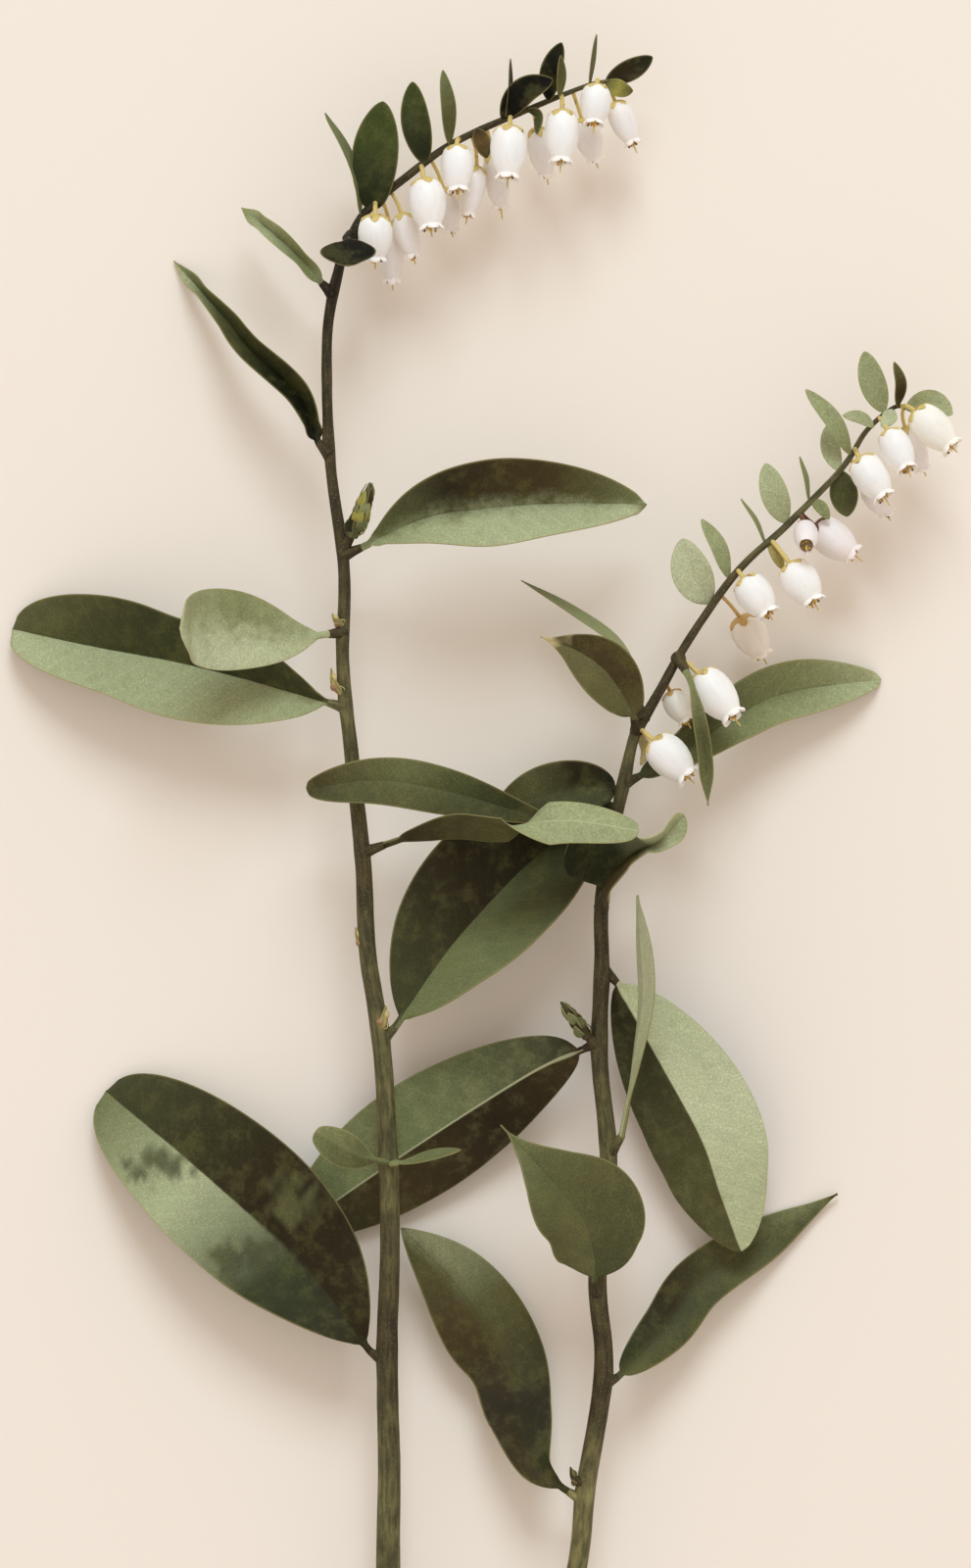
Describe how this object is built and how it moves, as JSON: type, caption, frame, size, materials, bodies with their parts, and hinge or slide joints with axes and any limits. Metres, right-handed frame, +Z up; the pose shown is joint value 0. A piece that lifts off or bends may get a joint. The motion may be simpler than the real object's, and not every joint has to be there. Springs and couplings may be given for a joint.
{
  "type": "leatherleaf flowering branch",
  "caption": "Cut, forked leatherleaf branch in flower, lying flat: slender stems, leathery oval leaves and one-sided spikes of white urn-shaped flowers.",
  "frame": {"origin": "middle of the branch's footprint, on the surface it lies on", "axes": "+Z up; +Y along the main stem, from the cut end towards the flower spike; +X towards the side stem's spike"},
  "size_m": [0.0972, 0.1948, 0.0215],
  "materials": {
    "bark": "matt, finely speckled",
    "leaf": "leathery, low sheen, scurfy",
    "bud": "matt",
    "spike": "matt",
    "petal": "smooth, waxy"
  },
  "bodies": {
    "root": {"main_stem": "bark", "side_stem": "bark", "main_leaf_low_left": "leaf", "main_leaf_front_left": "leaf", "main_leaf_front_right": "leaf", "main_leaf_big": "leaf", "main_leaf_twisted": "leaf", "main_leaf_left": "leaf", "main_leaf_left_front": "leaf", "main_leaf_right": "leaf", "main_leaf_narrow": "leaf", "main_leaf_small": "leaf", "main_leaf_under_spike": "leaf", "side_leaf_between": "leaf", "side_leaf_low_right": "leaf", "side_leaf_low_front": "leaf", "side_leaf_narrow": "leaf", "side_leaf_behind": "leaf", "side_leaf_big_right": "leaf", "side_leaf_front": "leaf", "side_leaf_long_left": "leaf", "side_leaf_behind_top": "leaf", "side_leaf_right": "leaf", "side_leaf_dark": "leaf", "side_leaf_thin": "leaf", "side_leaf_hanging": "leaf", "main_bud": "bud", "side_bud": "bud", "main_flower_spike": "spike", "side_flower_spike": "spike", "main_flower_1": "petal", "main_flower_2": "petal", "main_flower_3": "petal", "main_flower_4": "petal", "main_flower_5": "petal", "main_flower_6": "petal", "main_flower_7": "petal", "main_flower_8": "petal", "main_flower_9": "petal", "main_flower_10": "petal", "main_flower_11": "petal", "main_flower_12": "petal", "main_flower_13": "petal", "main_flower_14": "petal", "side_flower_1": "petal", "side_flower_2": "petal", "side_flower_3": "petal", "side_flower_4": "petal", "side_flower_5": "petal", "side_flower_6": "petal", "side_flower_7": "petal", "side_flower_8": "petal", "side_flower_9": "petal", "side_flower_10": "petal", "side_flower_11": "petal", "side_flower_12": "petal", "side_flower_13": "petal"}
  },
  "joints": []
}
